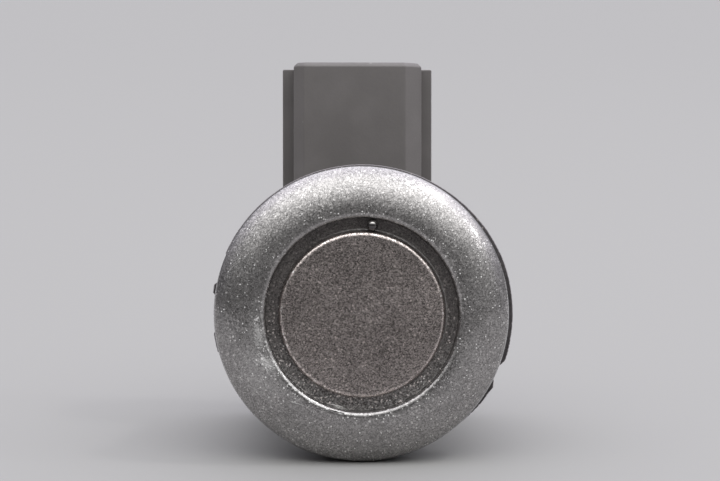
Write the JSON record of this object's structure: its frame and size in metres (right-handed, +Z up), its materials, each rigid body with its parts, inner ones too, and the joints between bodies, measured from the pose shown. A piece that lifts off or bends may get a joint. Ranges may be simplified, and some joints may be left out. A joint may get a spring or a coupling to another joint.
{
  "type": "parking sensor",
  "caption": "Ultrasonic bumper parking sensor: a domed, painted ring round a flat painted disc, on a round clip-in body with an upright plug socket behind.",
  "frame": {"origin": "on the sensor's axis, in the plane where the bezel's back seats", "axes": "+Y runs rearwards along the sensor's axis into the bumper, sound leaves along -Y, and +Z is up, the way the plug socket points"},
  "size_m": [0.0257, 0.0222, 0.0345],
  "materials": {
    "bezel_paint": "metallic paint on moulded plastic",
    "disc_paint": "metallic paint on aluminium",
    "soft_ring": "silicone, painted over where it shows",
    "seal_rubber": "torn soft rubber",
    "housing_plastic": "glass-filled moulding, fine grain",
    "cover_plastic": "moulding, fine grain",
    "potting_resin": "cast resin",
    "piezo_ceramic": "matt fired ceramic",
    "foam": "open foam",
    "clear_silicone": "cast silicone",
    "live_insulation": "wire insulation",
    "ground_insulation": "wire insulation",
    "board_laminate": "solder mask",
    "chip_epoxy": "moulded package",
    "tinned_leads": "tinned",
    "base_plastic": "moulding",
    "ferrite": "fired ferrite",
    "copper_wire": "enamelled wire",
    "can_aluminium": "drawn can",
    "capacitor_ceramic": "fired ceramic",
    "resistor_ceramic": "glazed top",
    "tinned_terminal": "tinned",
    "solder": "solder"
  },
  "bodies": {
    "root": {"trim_bezel": "bezel_paint", "bezel_gasket": "seal_rubber", "membrane_pot": "disc_paint", "decoupling_ring": "soft_ring", "piezo_disc": "piezo_ceramic", "damping_pad": "foam", "pot_seal": "clear_silicone", "live_lead": "live_insulation", "ground_lead": "ground_insulation", "housing": "housing_plastic", "rear_cover": "cover_plastic", "potting": "potting_resin", "circuit_board": "board_laminate", "driver_chip": "chip_epoxy", "driver_chip_pins": "tinned_leads", "transformer_base": "base_plastic", "transformer_core": "ferrite", "transformer_winding": "copper_wire", "transformer_shield": "ferrite", "storage_capacitor": "can_aluminium", "ceramic_capacitors": "capacitor_ceramic", "resistors": "resistor_ceramic", "terminal_supply": "tinned_terminal", "terminal_signal": "tinned_terminal", "terminal_ground": "tinned_terminal", "solder_joints": "solder"}
  },
  "joints": []
}
